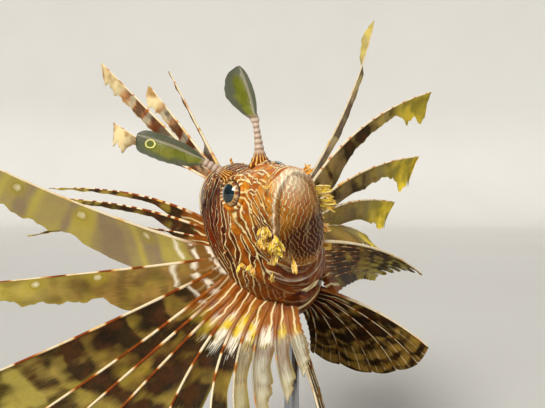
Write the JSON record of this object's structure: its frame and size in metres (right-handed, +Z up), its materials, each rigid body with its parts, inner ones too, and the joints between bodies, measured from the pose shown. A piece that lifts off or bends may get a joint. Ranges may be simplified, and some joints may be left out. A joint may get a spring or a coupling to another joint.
{
  "type": "red lionfish model",
  "caption": "Life-size still model of a swimming red lionfish with spread fins, held by a rod on a flat base.",
  "frame": {"origin": "middle of the underside of the stand's base", "axes": "+Z up, the fish faces -Y, +X to the fish's left"},
  "size_m": [0.19, 0.2258, 0.2158],
  "materials": {
    "skin": "moist skin, cream and red-brown lines",
    "eye": "wet, clear over a dark pupil",
    "tentacle": "soft grey-green skin",
    "fin": "translucent membrane with banded rays",
    "dark_fin": "dark blotched membrane with pale rays",
    "clear_fin": "translucent membrane with small dark spots",
    "stand_paint": "satin black paint",
    "stand_steel": "brushed"
  },
  "bodies": {
    "root": {"head": "skin", "trunk": "skin", "tail_stalk": "skin", "eye_right": "eye", "eye_left": "eye", "tentacle_right": "tentacle", "tentacle_left": "tentacle", "pectoral_fin_right": "fin", "pectoral_fin_left": "fin", "pelvic_fin_right": "dark_fin", "pelvic_fin_left": "dark_fin", "dorsal_spines": "fin", "soft_dorsal_fin": "clear_fin", "anal_fin": "clear_fin", "tail_fin": "clear_fin", "stand_base": "stand_paint", "stand_rod": "stand_steel"}
  },
  "joints": []
}
